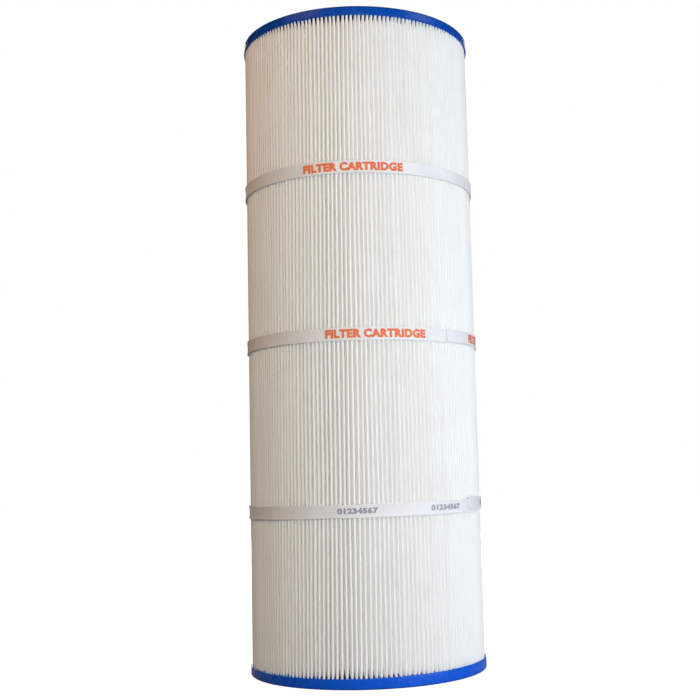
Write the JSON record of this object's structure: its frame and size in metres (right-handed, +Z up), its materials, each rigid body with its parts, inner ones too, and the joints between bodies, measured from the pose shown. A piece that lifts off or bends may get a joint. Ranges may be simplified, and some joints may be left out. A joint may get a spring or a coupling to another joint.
{
  "type": "pleated filter cartridge",
  "caption": "Tall round filter cartridge: pleated fabric media with soft end caps, an open port at each end, straps around the pleats and a lattice core.",
  "frame": {"origin": "centre of the lower end face, on the cartridge's axis", "axes": "+Z up along the cartridge's axis to the upper port; -Y is the front, where the print on the straps reads; +X is to the right of the front"},
  "size_m": [0.1778, 0.1778, 0.486],
  "materials": {
    "cap_polyurethane": "satin",
    "filter_media": "matte",
    "band_fabric": "satin",
    "hot_melt": "satin",
    "core_plastic": "matte"
  },
  "bodies": {
    "root": {"top_end_cap": "cap_polyurethane", "bottom_end_cap": "cap_polyurethane", "pleated_media": "filter_media", "media_seam": "hot_melt", "core_section_1": "core_plastic", "core_section_2": "core_plastic", "core_section_3": "core_plastic", "core_section_4": "core_plastic", "retaining_band_lower": "band_fabric", "band_adhesive_lower": "hot_melt", "retaining_band_middle": "band_fabric", "band_adhesive_middle": "hot_melt", "retaining_band_upper": "band_fabric", "band_adhesive_upper": "hot_melt"}
  },
  "joints": []
}
